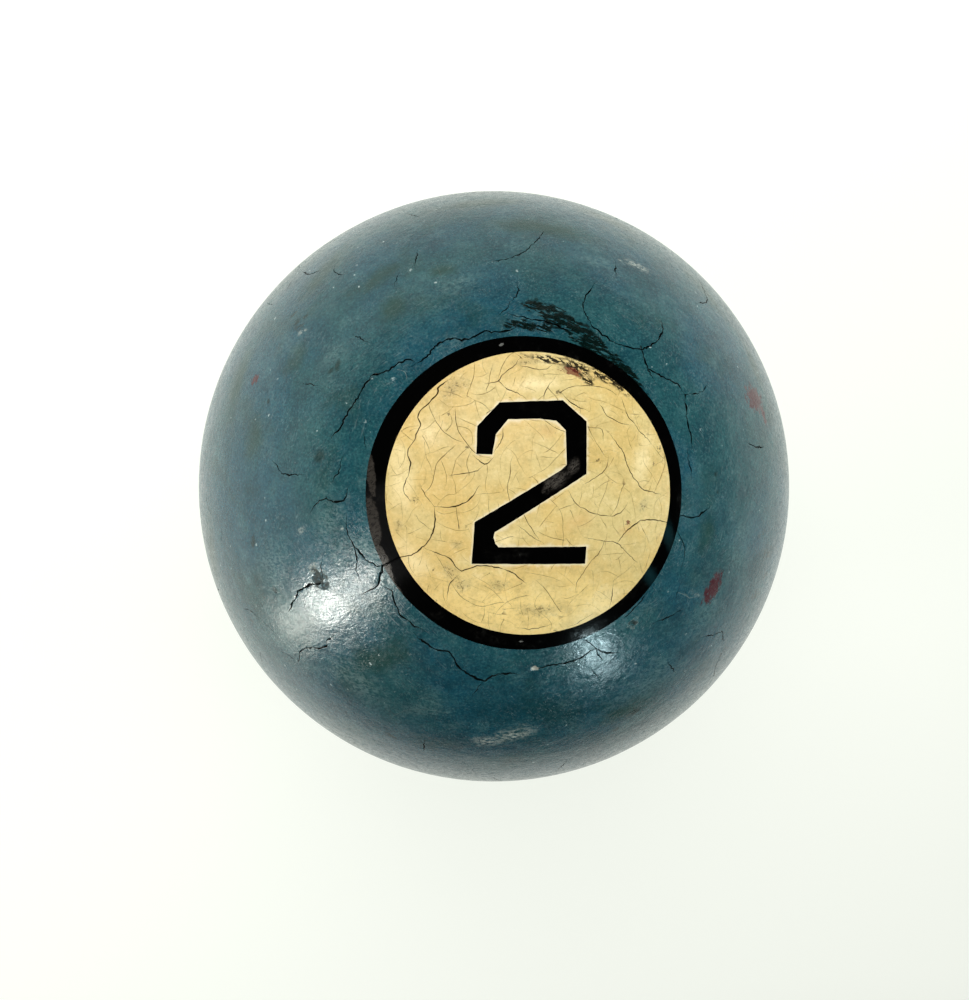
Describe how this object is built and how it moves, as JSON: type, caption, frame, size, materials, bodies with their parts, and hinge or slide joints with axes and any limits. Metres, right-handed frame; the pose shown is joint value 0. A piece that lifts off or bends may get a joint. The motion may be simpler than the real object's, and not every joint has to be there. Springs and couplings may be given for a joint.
{
  "type": "pool ball",
  "caption": "Antique composition pool ball: blue covering with an inlaid cream number disc, black ring and angular black numeral at each end of its axis.",
  "frame": {"origin": "centre of the ball", "axes": "+Z out through the middle of the upper number disc, +Y towards the top of its numeral, +X to that numeral's right"},
  "size_m": [0.0572, 0.0572, 0.0572],
  "materials": {
    "core_composition": "matte",
    "blue_composition": "worn gloss, crazed",
    "black_composition": "worn gloss",
    "cream_composition": "worn gloss, finely crazed"
  },
  "bodies": {
    "root": {"core": "core_composition", "cover": "blue_composition", "top_ring": "black_composition", "top_disc": "cream_composition", "top_numeral": "black_composition", "bottom_ring": "black_composition", "bottom_disc": "cream_composition", "bottom_numeral": "black_composition"}
  },
  "joints": []
}
